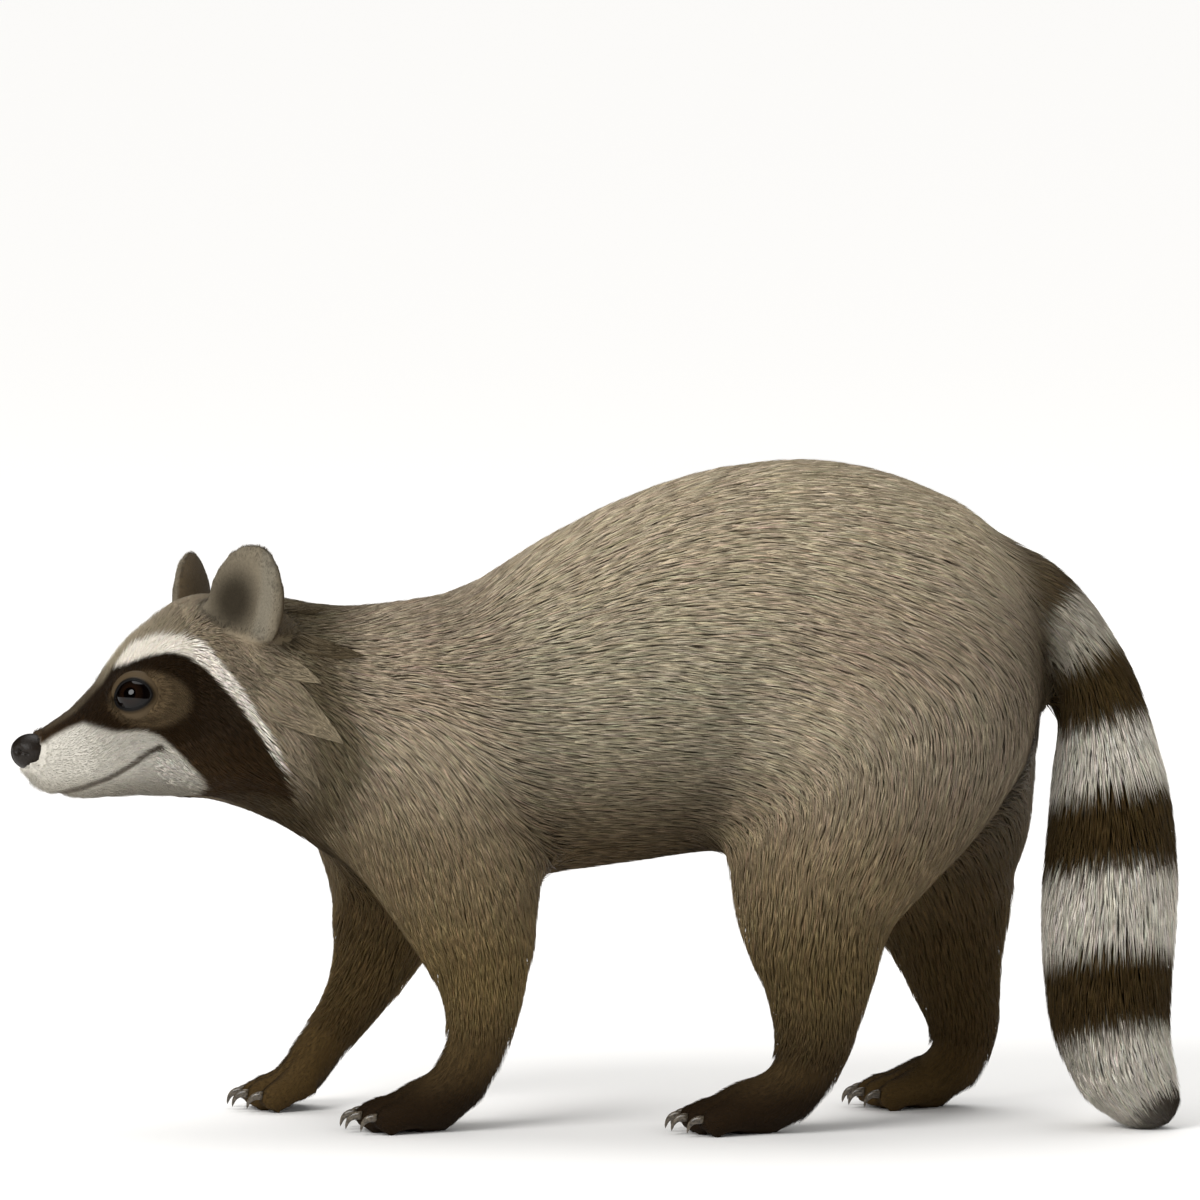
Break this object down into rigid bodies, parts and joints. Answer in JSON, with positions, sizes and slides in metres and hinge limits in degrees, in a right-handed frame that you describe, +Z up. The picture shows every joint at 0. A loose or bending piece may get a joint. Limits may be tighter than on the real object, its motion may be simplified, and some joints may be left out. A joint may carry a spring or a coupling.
{
  "type": "common raccoon, standing",
  "caption": "Standing raccoon in mid-step with its head low and turned a little to its left, and its ringed tail hanging to the ground.",
  "frame": {"origin": "on the ground, under the middle of the box round the whole animal", "axes": "+Z up, head towards -X, its left side towards -Y"},
  "size_m": [0.61, 0.1907, 0.3455],
  "materials": {
    "back_fur": "thick grizzled grey-brown coat, matte",
    "face_fur": "short grey-brown fur with a black mask and white brow and muzzle, matte",
    "pale_fur": "short off-white fur, matte",
    "ear_fur": "short grey fur with a pale rim, matte",
    "leg_fur": "short brown fur, matte",
    "foot_fur": "very short dark brown fur with bare pads, matte",
    "tail_fur": "long ringed fur, dark brown and pale grey, matte",
    "nose_pad": "moist black skin, satin",
    "eye": "wet dark brown eye, gloss",
    "claw": "horn, satin"
  },
  "bodies": {
    "root": {"left_upper_arm": "back_fur", "right_upper_arm": "back_fur", "left_thigh": "back_fur", "right_thigh": "back_fur", "trunk": "back_fur", "tail_base": "tail_fur", "tail_middle": "tail_fur", "tail_end": "tail_fur", "neck": "back_fur", "lower_jaw": "pale_fur", "head": "face_fur", "nose": "nose_pad", "left_eye": "eye", "right_eye": "eye", "left_ear": "ear_fur", "right_ear": "ear_fur", "left_forearm": "leg_fur", "right_forearm": "leg_fur", "left_shank": "leg_fur", "right_shank": "leg_fur", "left_fore_foot": "foot_fur", "left_fore_claw_1": "claw", "left_fore_claw_2": "claw", "left_fore_claw_3": "claw", "left_fore_claw_4": "claw", "left_fore_claw_5": "claw", "right_fore_foot": "foot_fur", "right_fore_claw_1": "claw", "right_fore_claw_2": "claw", "right_fore_claw_3": "claw", "right_fore_claw_4": "claw", "right_fore_claw_5": "claw", "left_hind_foot": "foot_fur", "left_hind_claw_1": "claw", "left_hind_claw_2": "claw", "left_hind_claw_3": "claw", "left_hind_claw_4": "claw", "left_hind_claw_5": "claw", "right_hind_foot": "foot_fur", "right_hind_claw_1": "claw", "right_hind_claw_2": "claw", "right_hind_claw_3": "claw", "right_hind_claw_4": "claw", "right_hind_claw_5": "claw"}
  },
  "joints": []
}
